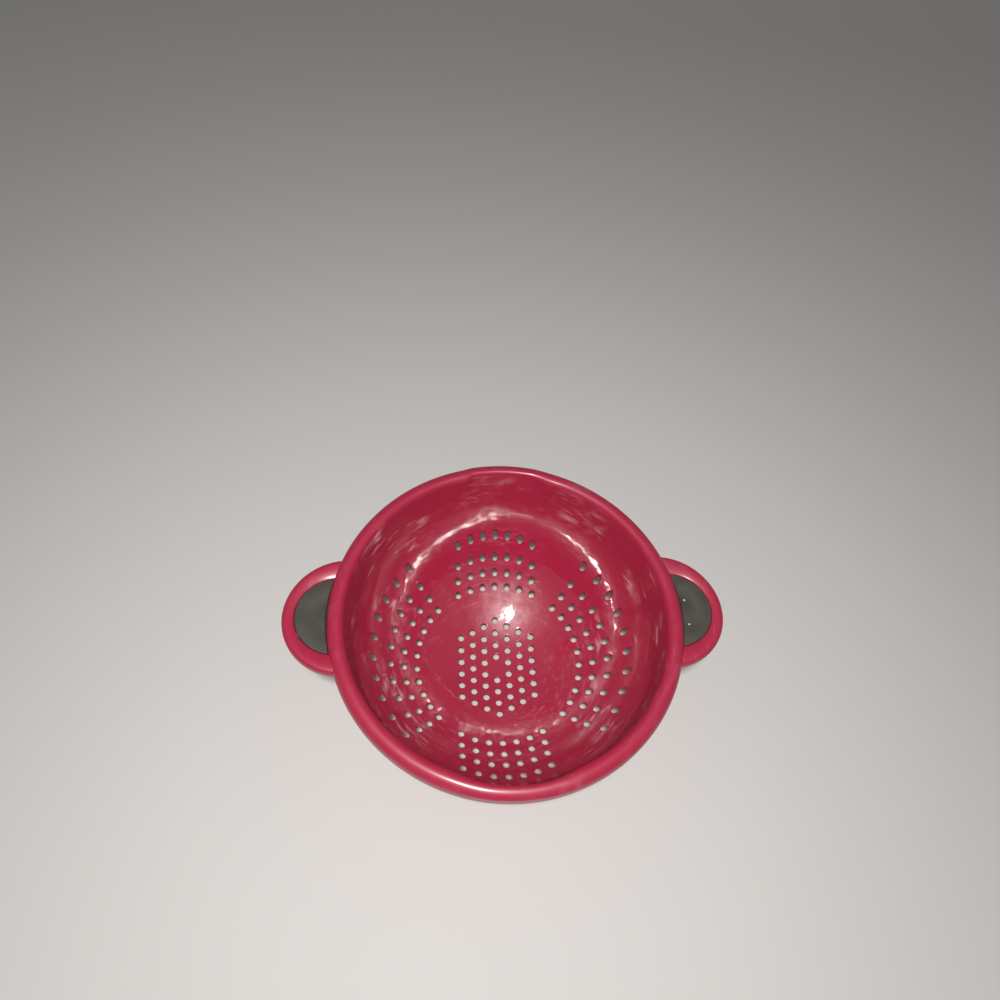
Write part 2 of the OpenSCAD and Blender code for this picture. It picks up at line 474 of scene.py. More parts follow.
def coat_left(t, r, near_top, inside):
    """How much clear coat is left: less near the rim, at the back, in bald patches and outside."""
    tipped = t.ramp(plan_distance(t, tipped_place), *tipped_fade)
    bald = t.ramp(t.noise(object_place(t), **bald_noise), *bald_edge)
    gone = t.product(t.maths("MAXIMUM", tipped, bald), t.ramp(r, *bald_start))
    kept = t.maths("MULTIPLY_ADD", gone, -bald_loss, 1.0)
    kept = t.product(t.maths("MULTIPLY_ADD", near_top, -top_loss, 1.0), kept)
    return t.maths("MULTIPLY_ADD", t.maths("SUBTRACT", kept, outside_coat), inside, outside_coat)


print("coat outside:", outside_coat)

# %% Painted highlights in the bowl
# where the painted highlights on the side walls and the painted haze in the base lie
side_start, high_start = (40 * mm, 75 * mm), (70 * mm, 88 * mm)
wisp_noise = {"Around": 5.0, "Outwards": 120.0, "Detail": 2.5, "Seed": 21.0}
wisp_edge, wisp_patches = (0.5, 0.78), (0.1, 0.8)
# the painted haze in the base: where it lies, how it fades, and how strong it is
haze_place, haze_fade = (9 * mm, 52 * mm, 0), (30 * mm, 4 * mm)
haze_noise, haze_edge, haze_strength = {"scale": 90.0, "detail": 4.0}, (0.3, 0.7), 0.35


def painted_wall_highlights(t, r, patches):
    """Mask of painted highlights: soft pale streaks along the walls on the left and right."""
    aside = t.maths("ABSOLUTE", t.add("ShaderNodeSeparateXYZ", object_place(t)))
    sides = t.product(t.ramp(aside, *side_start), t.ramp(r, *high_start))
    wisps = t.ramp(t.group(wrapped_noise, **wisp_noise), *wisp_edge)
    return t.product(wisps, sides, t.ramp(patches, *wisp_patches))


def painted_base_haze(t):
    """Mask of a painted pale haze in the base round the lamp's highlight, between the middle and
    the back holes.
    """
    near = t.ramp(plan_distance(t, haze_place), *haze_fade)
    cloud = t.ramp(t.noise(object_place(t), **haze_noise), *haze_edge)
    return t.product(near, haze_strength, cloud)


# the painted haze takes up to this share of the painted highlight colour
print("scuffs up to", haze_strength, "of the wisps' colour")

# %% The bowl's finish
bowl_wear = {"Wave": 0.26 * mm, "Streak": 0.11 * mm, "Grain": 0.0005 * mm}
bowl_ground, bowl_wear_and_sheen, bowl_coat_roughness = 0.31, 0.45, 0.04
top_start, top_roughness = (84 * mm, 104 * mm), 0.2
mark_radius, mark_fade = foot_radius - 1.2 * mm, (3.5 * mm, 0.5 * mm)
mark_roughness, mark_depth = 0.06, 0.01 * mm


def bowl_finish():
    """Crimson under a worn clear coat, with the foot ring's mark in the base and painted highlights
    inside.
    """
    paint, t, shader = new_paint("crimson_bowl")
    colour, rough, height, patches = worn_crimson(t, bowl_wear, bowl_ground, bowl_wear_and_sheen)
    r = t.group(axis_place)
    inside = t.add("ShaderNodeAttribute", out="Fac", attribute_name="inside")
    near_top = t.ramp(r.node.outputs["Height"], *top_start)
    mark = t.ramp(t.maths("ABSOLUTE", t.maths("SUBTRACT", r, mark_radius)), *mark_fade)
    rough = t.maths("MULTIPLY_ADD", near_top, top_roughness, rough)
    bump = t.bump(t.maths("MULTIPLY_ADD", mark, -mark_depth, height))
    # painted highlights: pale streaks on the side walls, and a pale haze in the base round the
    # lamp's highlight
    pale = t.maths("MAXIMUM", painted_base_haze(t), painted_wall_highlights(t, r, patches))
    t.feed_all(shader.inputs, {
        "Base Color": t.mix(t.product(pale, inside), colour, painted_highlight_colour),
        "Roughness": t.maths("MULTIPLY_ADD", mark, mark_roughness, rough),
        "Normal": bump, "Coat Normal": bump, "Coat Weight": coat_left(t, r, near_top, inside),
        "Coat Roughness": bowl_coat_roughness, "Coat IOR": coat_ior,
    })
    return paint


bowl_crimson = bowl_finish()
print("finish:", bowl_crimson.name)

# %% The finish of the rim, the foot ring and the loops
rim_wear = {"Wave": 0.05 * mm, "Streak": 0.02 * mm, "Grain": 0.002 * mm}
# the rim's pale wiping streaks are partly painted highlight
rim_ground, rim_wear_and_sheen, rim_coat, rim_coat_roughness = 0.42, 0.2, 0.35, 0.2
rim_dust = {"Cells": 130.0, "Size": 0.07, "Share": 0.03}


def rim_finish():
    """Crimson that is handled: duller, finely grained, and with a little dust on it."""
    paint, t, shader = new_paint("crimson_rim")
    colour, rough, height, _ = worn_crimson(t, rim_wear, rim_ground, rim_wear_and_sheen)
    bump = t.bump(height)
    t.feed_all(shader.inputs, {
        "Base Color": t.mix(t.group(dust, **rim_dust), colour, speck_colour),
        "Roughness": rough, "Normal": bump, "Coat Normal": bump,
        "Coat Weight": rim_coat, "Coat Roughness": rim_coat_roughness, "Coat IOR": coat_ior,
    })
    return paint


rim_crimson = rim_finish()
print("finish:", rim_crimson.name)

# %% [markdown]
# ## The grey finish
#
# The grips are a softer plastic: matt, warm grey, finely grained, with a few specks of dust that
# the soft skin holds. The grain is a bump, because it is far finer than the mesh.

# %% The grey finish
dark_grey, light_grey = (0.034, 0.031, 0.025, 1), (0.092, 0.085, 0.070, 1)
grip_blotches = {"scale": 70.0, "detail": 5.0}
grip_grain, grip_grain_height = {"scale": 1800.0, "detail": 1.0}, 0.02 * mm
grip_roughness = 0.58


def grip_finish():
    """Matt grey soft plastic with a fine grain, faint blotches and a little dust."""
    paint, t, shader = new_paint("grip_rubber")
    place = object_place(t)
    colour = t.mix(t.noise(place, **grip_blotches), dark_grey, light_grey)
    t.feed_all(shader.inputs, {
        "Base Color": t.mix(t.group(dust), colour, speck_colour),
        "Normal": t.bump(t.product(t.noise(place, **grip_grain), grip_grain_height)),
        "Roughness": grip_roughness,
    })
    return paint


grey = grip_finish()
print("finish:", grey.name)

# %% [markdown]
# ## The bowl's curve
#
# The moulding is a skin of even thickness about two arcs: a dome under the middle and a wall
# round it. A section could be spun and thickened by modifiers, but the drain holes need the
# height of the skin at any place in the plan. A face of the skin is the arcs with a little more
# radius, so one formula gives the height of the inside, with no offset, and of the outside,
# with the wall as the offset.


# %% Height of a face above a place in the plan
def face_height(r, offset):
    """Height of the bowl's inner face at a distance r from the middle, or of one offset out."""
    dome, side = dome_radius + offset, wall_radius + offset
    if r < dome * dome_share:
        return dome_z - math.sqrt(dome * dome - r * r)
    return wall_z - math.sqrt(side * side - (r - wall_x) ** 2)


def run_along(r):
    """Length of the inner face from the middle of the base out to a distance r."""
    turn = math.asin(dome_share)
    if r < dome_radius * dome_share:
        return dome_radius * math.asin(r / dome_radius)
    return dome_radius * turn + wall_radius * (math.asin((r - wall_x) / wall_radius) - turn)


print("inner face at the foot ring:", round(face_height(foot_radius, 0) / mm, 2), "mm up")

# %% [markdown]
# ## Where the drain holes are
#
# The holes run straight up and down, as the pins of the mould did, so a hole is a place in the
# plan. There are five groups: a staggered one in the base with its middle left whole, blocks of
# straight columns at the front and back, and fans of rows on circles under the two handles.

# %% Places of the holes
hole_radius = 2.6 * mm
row_radii = [r * mm for r in (67.4, 77.6, 87.8, 100.0)]
fan_columns, fan_pitch = 10, math.radians(9.5)
block_columns, column_pitch = 7, 10.75 * mm
base_columns, base_longest = 7, 9
base_column_pitch, base_hole_pitch = 10 * mm, 10.2 * mm


def hole_places():
    """The plan places of all the drain holes."""
    places = []
    for column in range(base_columns):
        aside = column - (base_columns - 1) / 2
        count = int(base_longest - abs(aside))
        for hole in range(count):
            along = hole - (count - 1) / 2
            if aside or along:
                places.append((aside * base_column_pitch, along * base_hole_pitch))
    for r in row_radii:
        for side in (-1, 1):
            for column in range(fan_columns):
                turn = (column - (fan_columns - 1) / 2) * fan_pitch
                places.append((side * r * math.cos(turn), r * math.sin(turn)))
            for column in range(block_columns):
                x = (column - (block_columns - 1) / 2) * column_pitch
                sag = row_radii[0] - math.sqrt(row_radii[0] ** 2 - x * x)
                places.append((x, side * (r - sag)))
    return places


places = hole_places()
print(len(places), "drain holes")

# %% [markdown]
# ## The drilled sheet
#
# A boolean cut would leave ragged slivers round every hole, and a glossy skin shows each one.
# So the sheet between the holes is drawn flat, as a triangle net with round gaps. It is laid out
# by the true length along the curve, which keeps the triangles even where the wall is steep.

# %% Points of the flat net
hole_steps = 20
edge_round = 0.45 * mm
collar_radius = 3.35 * mm
join_radius = 106.5 * mm
columns = 480
net_step, length_steps = 2.3 * mm, 2000
net_clear = collar_radius + 0.35 * net_step
gap_radius = 0.98 * collar_radius
same_place = 1e-9  # points nearer to each other than this count as one


def ring_points(x, y, radius, count):
    """Points evenly round a circle in the plan."""
    turns = [2 * math.pi * i / count for i in range(count)]
    return [(x + radius * math.cos(turn), y + radius * math.sin(turn)) for turn in turns]


def hole_distance(x, y):
    """Distance in the plan from a point to the middle of the nearest hole."""
    return min(math.hypot(x - a, y - b) for a, b in places)


def free_points():
    """The net's points between the holes, on rings evenly apart along the bowl's curve."""
    samples = [join_radius * i / length_steps for i in range(length_steps + 1)]
    lengths = [run_along(r) for r in samples]
    rings = int(lengths[-1] / net_step)
    points = []
    for ring in range(rings):
        r = samples[bisect_left(lengths, lengths[-1] * ring / rings)]
        count = max(1, round(2 * math.pi * r / net_step))
        points += [p for p in ring_points(0, 0, r, count) if hole_distance(*p) > net_clear]
    return points


loose_points = free_points()
print(len(loose_points), "points between the holes")


# %% Flat net with gaps
def spread(point):
    """A plan place moved out to its length along the bowl's curve."""
    r = math.hypot(*point)
    return Vector(point) * (run_along(r) / r if r else 1)


def flat_net():
    """The flat sheet with a gap at every hole, as plan points and triangles."""
    points, edges = [], []
    loops = [(0, 0, join_radius, columns)] + [(*p, collar_radius, hole_steps) for p in places]
    for x, y, radius, count in loops:
        start = len(points)
        points += ring_points(x, y, radius, count)
        edges += [(start + i, start + (i + 1) % count) for i in range(count)]
    points += loose_points
    net, laid_out = [], [spread(p) for p in points]
    triangles, sources = delaunay_2d_cdt(laid_out, edges, [], 0, same_place)[2:4]
    for triangle in triangles:
        corners = [sources[i][0] for i in triangle]
        x, y = (sum(points[i][axis] for i in corners) / 3 for axis in (0, 1))
        if hole_distance(x, y) > gap_radius:
            net.append(corners)
    return points, net


net_points, net_faces = flat_net()
print("net of", len(net_points), "points and", len(net_faces), "triangles")

# %% [markdown]
# ## The holes, by Geometry Nodes
#
# The 186 holes are alike: each is a collar, which is the wall of the hole with its softened upper
# and lower edges. They could be cut and bevelled one by one, but what repeats is best drawn once.
# So one collar is drawn flat, and each of its points carries two notes: which face of the sheet
# it belongs to, and how deep it lies under that face. The tree sets a collar on every hole place,
# adds the net twice, and then lifts every point onto the curve. So each collar follows the slope
# of the wall by itself, and meets the net point for point.


# %% Collar and hole places as meshes
def note(mesh, name, values):
    """Store a number on every point of a mesh."""
    mesh.attributes.new(name, "FLOAT", "POINT").data.foreach_set("value", values)


def helper_object(name, verts, faces):
    """A mesh that only the tree reads; it is in the scene only while the tree runs."""
    mesh = bpy.data.meshes.new(name)
    mesh.from_pydata(verts, [], faces)
    return bpy.data.objects.new(name, mesh)


def make_collar():
    """A flat drawing of one hole: its rings, each with its face and its depth under that face."""
    rows = [(collar_radius, 0.0)]
    for angle in (0, 45, 90):
        turn = math.radians(angle)
        depth = edge_round * (1 - math.cos(turn))
        rows.append((hole_radius + edge_round * (1 - math.sin(turn)), depth))
    rings = [(r, d, 0.0) for r, d in rows] + [(r, d, 1.0) for r, d in reversed(rows)]
    verts = [(x, y, 0) for r, _, _ in rings for x, y in ring_points(0, 0, r, hole_steps)]
    collar = helper_object("hole_collar", verts, grid_faces(len(rings), hole_steps))
    note(collar.data, "outside", [side for _, _, side in rings for _ in range(hole_steps)])
    note(collar.data, "depth", [depth for _, depth, _ in rings for _ in range(hole_steps)])
    return collar


collar = make_collar()
place_points = helper_object("hole_places", [(x, y, 0) for x, y in places], [])
print("collar of", len(collar.data.polygons), "faces")

# %% The tree's inputs, and all its pieces laid flat
sheet_merge = 1e-6  # the net and the collars meet closer than this
sheet_inputs = {
    "Net": "Geometry", "Holes": "Object", "Collar": "Object", "Dome Radius": "Float",
    "Wall Radius": "Float", "Dome Height": "Float", "Wall Height": "Float",
    "Wall Middle": "Float", "Dome Share": "Float", "Thickness": "Float", "Finish": "Material",
}


def new_sheet_tree():
    """An empty tree with the inputs above, and those inputs."""
    tree = bpy.data.node_groups.new("drilled_sheet", "GeometryNodeTree")
    tree.is_modifier = True
    for name, kind in sheet_inputs.items():
        tree.interface.new_socket(name, in_out="INPUT", socket_type="NodeSocket" + kind)
    tree.interface.new_socket("Sheet", in_out="OUTPUT", socket_type="NodeSocketGeometry")
    return Tree(tree), tree.nodes.new("NodeGroupInput").outputs


def flat_pieces(t, given):
    """The net for the inside, the net for the outside, and a collar on every hole place."""
    holes, one = (t.add("GeometryNodeObjectInfo", ("Object", given[label]), out="Geometry")
                  for label in ("Holes", "Collar"))
    collars = t.add("GeometryNodeInstanceOnPoints", ("Points", holes), ("Instance", one))
    collars = t.add("GeometryNodeRealizeInstances", collars)
    under = t.add("GeometryNodeStoreNamedAttribute", given["Net"], None, "outside", 1.0,
                  data_type="FLOAT", domain="POINT")
    under = t.add("GeometryNodeFlipFaces", under)
    join = t.tree.nodes.new("GeometryNodeJoinGeometry")
    for piece in (given["Net"], under, collars):
        t.feed(join.inputs[0], piece)
    return join.outputs[0]


print("the tree takes", ", ".join(sheet_inputs))


# %% The tree that drills the bowl
def arc_height(t, radius, away, middle):
    """Height of an arc at a distance away from the line under its middle."""
    square = t.product(radius, radius)
    square = t.maths("SUBTRACT", square, t.product(away, away))
    return t.maths("SUBTRACT", middle, t.maths("SQRT", square))


def curve_height(t, given):
    """Height of every point on the face that it belongs to, less its depth under that face."""
    outside, depth = (t.add("GeometryNodeInputNamedAttribute", label, data_type="FLOAT")
                      for label in ("outside", "depth"))
    offset = t.product(outside, given["Thickness"])
    dome = t.maths("ADD", given["Dome Radius"], offset)
    side = t.maths("ADD", given["Wall Radius"], offset)
    flat = t.vector("MULTIPLY", t.add("GeometryNodeInputPosition"), (1, 1, 0))
    r = t.vector("LENGTH", flat, out="Value")
    on_dome = arc_height(t, dome, r, given["Dome Height"])
    past_middle = t.maths("SUBTRACT", r, given["Wall Middle"])
    on_wall = arc_height(t, side, past_middle, given["Wall Height"])
    is_wall = t.maths("GREATER_THAN", r, t.product(dome, given["Dome Share"]))
    rise = t.product(t.maths("SUBTRACT", on_wall, on_dome), is_wall)
    # a point's depth takes it down from the inner face, but up from the outer one
    inward = t.product(depth, t.maths("MULTIPLY_ADD", outside, 2.0, -1.0))
    return t.maths("ADD", t.maths("ADD", on_dome, rise), inward)


def drilled_sheet_tree():
    """Net, holes, collar and the sizes of the curve in; the drilled and curved sheet out."""
    t, given = new_sheet_tree()
    flat = flat_pieces(t, given)
    lift = t.add("ShaderNodeCombineXYZ", 0.0, 0.0, curve_height(t, given))
    lifted = t.add("GeometryNodeSetPosition", flat, ("Offset", lift))
    merged = t.add("GeometryNodeMergeByDistance", lifted, ("Distance", sheet_merge))
    smooth = t.add("GeometryNodeSetShadeSmooth", merged)
    real = t.add("GeometryNodeRealizeInstances", smooth)
    done = t.add("GeometryNodeSetMaterial", real, ("Material", given["Finish"]))
    t.feed(t.tree.nodes.new("NodeGroupOutput").inputs["Sheet"], done)
    return t.tree


drilling = drilled_sheet_tree()
print("tree of", len(drilling.nodes), "nodes")


# %% Run the tree
def apply_tree(source, tree, values):
    """Hang a tree on an object, set its inputs by identifier, and return the result as a mesh."""
    modifier = source.modifiers.new(tree.name, "NODES")
    modifier.node_group = tree
    for item in tree.interface.items_tree:
        if item.item_type == "SOCKET" and item.in_out == "INPUT" and item.name in values:
            modifier[item.identifier] = values[item.name]
    source.update_tag()
    graph = bpy.context.evaluated_depsgraph_get()
    graph.update()
    mesh = bpy.data.meshes.new_from_object(source.evaluated_get(graph), depsgraph=graph)
    source.modifiers.remove(modifier)
    return mesh


print("the tree hands out", [s.name for s in drilling.interface.items_tree if s.in_out == "OUTPUT"])


# %% Drill the sheet
def drill_sheet(finish):
    """The drilled part of the bowl, from the middle out to the join radius."""
    net = helper_object("net", [(x, y, 0) for x, y in net_points], net_faces)
    note(net.data, "outside", [0.0] * len(net_points))
    note(net.data, "depth", [0.0] * len(net_points))
    helpers = (net, collar, place_points)
    for helper in helpers:
        bpy.context.scene.collection.objects.link(helper)
    made = apply_tree(net, drilling, {
        "Holes": place_points, "Collar": collar, "Dome Radius": dome_radius,
        "Wall Radius": wall_radius, "Dome Height": dome_z, "Wall Height": wall_z,
        "Wall Middle": wall_x, "Dome Share": dome_share, "Thickness": wall, "Finish": finish,
    })
    for helper in helpers:
        bpy.data.objects.remove(helper)
    return made


sheet = drill_sheet(bowl_crimson)
print("drilled sheet of", len(sheet.polygons), "faces")

# %% [markdown]
# ## The pouring lips
#
# At the front and the back the wall leans out a little further near the top, and the rim over it
# is tighter, so that water runs off in a stream. They could be sculpted into a round rim. Here a
# share from 0 to 1 says how much of a pouring lip there is at an angle round the bowl, and every
# size of the rim is mixed by that share, so the section stays closed and even.

# %% Share of pouring lip at an angle
# where a lip ends and how far it fades there, in degrees, as ((left), (right))
back_ends, front_ends = ((11.5, 2.2), (16.5, 5.0)), ((15.0, 8.0), (15.0, 8.0))
pour_lip_radius, pour_edge_radius = 3 * mm, 6.2 * mm
wide_reach, wide_fade = math.radians(16.5), math.radians(24)
flare_start_z = 78 * mm
pour_bulge = 0.5 * mm


def smooth_step(value):
    """A ramp from 0 to 1 that starts and ends level."""
    value = min(1, max(0, value))
    return value * value * (3 - 2 * value)


def pour_share(turn):
    """How much pouring lip there is at an angle round the bowl."""
    share = 0
    for middle, ends in ((math.pi / 2, back_ends), (-math.pi / 2, front_ends)):
        away = (turn - middle + math.pi) % (2 * math.pi) - math.pi
        left = away > 0 if middle > 0 else away < 0
        reach, fade = (math.radians(a) for a in ends[0 if left else 1])
        share = max(share, smooth_step((reach + fade - abs(away)) / (2 * fade)))
    return share


def wide_share(turn):
    """The same with long soft ends, for the lower part of the flare."""
    away = abs(turn % math.pi - math.pi / 2)
    return smooth_step((wide_reach + wide_fade - away) / (2 * wide_fade))


print("share of lip at the back:", round(pour_share(math.pi / 2), 2))

# %% The wall above the holes
curve_share = 0.62  # how much of the way up is spent on the curve, before the straight wall
crispness = 8  # how fast the crisp ends of a lip give way to the soft ones below the top


def rim_section(turn):
    """Centre and radii of the rim's bends at an angle: x of both centres, inner and outer bend."""
    share = pour_share(turn)
    inner = lip_radius + (pour_lip_radius - lip_radius) * share
    outer = edge_radius + (pour_edge_radius - edge_radius) * share
    return rim_radius - outer, inner, outer


def wall_point(turn, climb, offset):
    """A point of the wall above the drilled sheet, at a climb from 0 to 1, where the lip starts."""
    start = math.asin((join_radius - wall_x) / (wall_radius + offset))
    end = math.pi / 2 - wall_lean
    centre, inner, _ = rim_section(turn)
    stop_z = top_z - inner + inner * math.sin(wall_lean)
    end_x = wall_x + wall_radius * math.sin(end)
    end_z = wall_z - wall_radius * math.cos(end)
    if climb < curve_share:
        lean = start + (end - start) * climb / curve_share
        x, z = wall_x + wall_radius * math.sin(lean), wall_z - wall_radius * math.cos(lean)
    else:
        z = end_z + (stop_z - end_z) * (climb - curve_share) / (1 - curve_share)
        x, lean = end_x + (z - end_z) * math.tan(wall_lean), end
    rise = smooth_step((z - flare_start_z) / (stop_z - flare_start_z))
    top_x = end_x + (stop_z - end_z) * math.tan(wall_lean)
    # the lip's ends are crisp at the top and fade out sideways lower down
    full_reach = rim_radius - pour_edge_radius - pour_lip_radius * math.cos(wall_lean) - top_x
    soft_reach = full_reach * wide_share(turn)
    crisp_reach = centre - inner * math.cos(wall_lean) - top_x
    x += (soft_reach + (crisp_reach - soft_reach) * rise**crispness) * rise
    return x + offset * math.sin(lean), z - offset * math.cos(lean)


print("the wall's top is", round(wall_point(0, 1, 0)[0] / mm, 1), "mm out at the sides and",
      round(wall_point(math.pi / 2, 1, 0)[0] / mm, 1), "mm at the back")

# %% Sections swept round the bowl
even_turns = [2 * math.pi * i / columns for i in range(columns)]
tip_middle = 0.3  # where the middle point of a rounded tip lies, as a share of its radius


def arc_points(x, z, radius, start, end, steps):
    """Points on an arc of a section; angles are from straight up, clockwise."""
    turns = [start + (end - start) * i / steps for i in range(steps + 1)]
    return [(x + radius * math.sin(turn), z + radius * math.cos(turn)) for turn in turns]


def tip_points(x, z, side, radius):
    """The rounded lower corner of a section: its face is at x and looks out (1) or in (-1)."""
    middle = tip_middle * radius
    return [(x, z + radius), (x - side * middle, z + middle), (x - side * radius, z)]


def spin(section_at, turns, close=True):
    """Points and faces of a section swept round the upright axis; it may change with the angle."""
    verts = []
    for turn in turns:
        section = section_at(turn)
        verts += [(x * math.cos(turn), x * math.sin(turn), z) for x, z in section]
    return verts, grid_faces(len(turns), len(section), close_lines=True, close_points=close)


print("the sweep has", len(even_turns), "columns")

# %% [markdown]
# ## The bowl and its rim
#
# The wall's top is swept round and sewn to the drilled sheet, point to point, because both have
# the same number of columns at the join. The rim is a ring of its own: a closed section that goes
# over the wall, out, down the skirt and back underneath. A swept curve with a bevel profile would
# give the same ring, but not one whose section changes at the pouring lips.

# %% The bowl
wall_steps, join_merge = 20, 2e-6


def wall_section(turn):
    """Section points from the join, up the inside, over the top edge, and down the outside."""
    # a row close to the top edge keeps the shading level where the rim takes over
    shares = [i / wall_steps for i in range(wall_steps)] + [0.998, 1]
    inside = [wall_point(turn, s, 0) for s in shares]
    outside = [wall_point(turn, s, wall) for s in reversed(shares)]
    inside[0] = (join_radius, face_height(join_radius, 0))
    outside[-1] = (join_radius, face_height(join_radius, wall))
    return inside + outside


def make_bowl():
    """The drilled sheet with the wall's top joined to it."""
    verts, faces = spin(wall_section, even_turns, close=False)
    start = len(sheet.vertices)
    all_verts = [tuple(v.co) for v in sheet.vertices] + verts
    all_faces = [tuple(p.vertices) for p in sheet.polygons]
    all_faces += [tuple(start + i for i in face) for face in faces]
    made = mesh_object("bowl_body", all_verts, all_faces, merge=join_merge)
    # the inner face looks up everywhere, and the outer face looks down
    note(made.data, "inside", [float(v.normal.z > 0) for v in made.data.vertices])
    return made


bowl = make_bowl()
print("the bowl is", round(bowl.dimensions.z / mm, 1), "mm high")

# %% The rim
skirt_tip, least_bend = 0.7 * mm, 0.25 * mm


def rim_outline(turn):
    """A closed section: over the wall, out, down the skirt, and back along the underside."""
    centre, inner, outer = rim_section(turn)
    bulge = pour_bulge * pour_share(turn)
    side, bend_z, start = centre + outer, top_z - outer, wall_lean - math.pi / 2
    deep = max(inner - wall, least_bend)
    points = [wall_point(turn, 1, 0)]
    points += arc_points(centre, top_z - inner, inner, start, 0, 9)[1:]
    points += arc_points(centre, bend_z, outer, 0, math.pi / 2, 12)[1:]
    points += [(side, skirt_z + (bend_z - skirt_z) * s) for s in (0.75, 0.5, 0.25)]
    points += tip_points(side, skirt_z, 1, skirt_tip)
    points += reversed(tip_points(side - wall, skirt_z, -1, skirt_tip))
    points += [(side - wall, skirt_z + (bend_z - skirt_z) * s) for s in (0.4, 0.7)]
    points += arc_points(centre, bend_z, outer - wall, math.pi / 2, 0, 8)
    points += arc_points(centre, top_z - wall - deep, deep, 0, start, 5)[1:]
    points.append(wall_point(turn, 1, wall))
    # the bulge of a lip stays within the rim's own radius
    return [(min(x + bulge * smooth_step((x - centre) / outer), rim_radius), z) for x, z in points]


rim = mesh_object("rolled_rim", *spin(rim_outline, even_turns))
print("the rim is", round(rim.dimensions.x / mm, 1), "mm across")

# %% [markdown]
# ## The foot ring
#
# The domed base can't stand by itself, so a ring stands out under it. Its lower edge is cut by
# half-round notches, so that water runs out from under the bowl. The notches could be cut by
# booleans. Here the ring is swept column by column, and the lower edge rises where a notch is,
# with columns closer together at its ends, so the edges keep their small rounding.

# %% The foot ring's columns
foot_wall = 2.5 * mm
notch_count, notch_radius = 8, 4 * mm
notch_pitch = 2 * math.pi / notch_count
notch_steps, gap_steps = 10, 22


def notch_height(along):
    """Height of the ring's lower edge, at a distance along the ring from a notch's middle."""
    if abs(along) >= notch_radius:
        return 0.0
    return math.sqrt(notch_radius**2 - along * along)


def foot_turns():
    """Angles of the ring's columns: even, and close together at the ends of the notches."""
    turns = []
    half = notch_radius / foot_radius
    gap = notch_pitch - 2 * half
    for notch in range(notch_count):
        middle = (notch + 0.5) * notch_pitch
        for i in range(-notch_steps, notch_steps + 1):
            turns.append(middle + half * math.sin(math.pi / 2 * i / notch_steps))
        turns += [middle + half + gap * i / gap_steps for i in range(1, gap_steps)]
    return sorted(turns)


foot_columns = foot_turns()
print("the foot ring has", len(foot_columns), "columns")

# %% The foot ring
foot_tip, foot_fillet, foot_sink = 0.6 * mm, 1.6 * mm, 0.5 * mm


def foot_side(side, low):
    """One side of the section, outer (1) or inner (-1), from its fillet down to the lower edge."""
    r = foot_radius if side > 0 else foot_radius - foot_wall
    points = [(r + side * foot_fillet, face_height(r + side * foot_fillet, wall) + foot_sink / 5)]
    for angle in (67.5, 45, 22.5, 0):
        turn = math.radians(angle)
        reach = r + side * foot_fillet * (1 - math.cos(turn))
        points.append((reach, face_height(reach, wall) - foot_fillet * (1 - math.sin(turn))))
    top = face_height(r, wall) - foot_fillet
    points += [(r, top + (low + foot_tip - top) * s) for s in (0.33, 0.66)]
    return points + tip_points(r, low, side, foot_tip)


def foot_section(turn):
    """The ring's section at an angle, sunk a little into the bowl's skin."""
    low = notch_height((turn % notch_pitch - notch_pitch / 2) * foot_radius)
    outer, inner = foot_radius, foot_radius - foot_wall
    outer_top = (outer + foot_fillet, face_height(outer, wall) + foot_sink)
    inner_top = (inner - foot_fillet, face_height(inner, wall) + foot_sink)
    return [outer_top] + foot_side(1, low) + foot_side(-1, low)[::-1] + [inner_top]


foot_ring = mesh_object("foot_ring_notched", *spin(foot_section, foot_columns))
print("the foot ring stands out", round(face_height(foot_radius, wall) / mm, 1), "mm")

# %% [markdown]
# ## The loop handles
#
# A loop is a flat bar between two circles whose centres lie apart, so it is narrow at its tip and
# wide at its roots. A flat ring could be extruded and bevelled, but a bevel can't follow a width
# that changes. So the bar's section is worked out at angles round the opening. Its top is
# crowned: it falls away towards the grip, to the same slope all along the grip's edge, which is
# what draws the broad light on the bar's inner half. Each line along the bar ends just inside
# the rim.

# %% Sizes of a loop
loop_reach = loop_high.x
loop_top, loop_bottom = loop_high.z, loop_low.z
loop_radius, opening_radius = 43.5 * mm, 28.7 * mm
tip_width, loop_round, inner_round = 8.6 * mm, 3.5 * mm, 1.2 * mm
crown_tilt = math.radians(26)
loop_centre = loop_reach - loop_radius
opening_centre = loop_reach - tip_width - opening_radius
loop_steps, search_steps = 96, 40
root_radius = rim_radius - 0.6 * wall  # the bar's lines end here, inside the rim's skirt
print("a loop stands out", round((loop_reach - rim_radius) / mm, 1), "mm")


# %% The section of a loop
def circle_reach(turn, away, radius):
    """Distance to a circle along a direction, from a point this far away from its middle."""
    along = away * math.cos(turn)
    return -along + math.sqrt(along * along - away * away + radius**2)


def outer_reach(turn):
    """Distance from the opening's centre to the loop's outer circle along a direction."""
    return circle_reach(turn, opening_centre - loop_centre, loop_radius)


def crown_drop(turn):
    """How far the bar's top has fallen at its inner edge, at an angle round the opening."""
    reach = outer_reach(turn) - loop_round - opening_radius - inner_round
    return (reach + inner_round * math.sin(crown_tilt)) * math.tan(crown_tilt) / 2


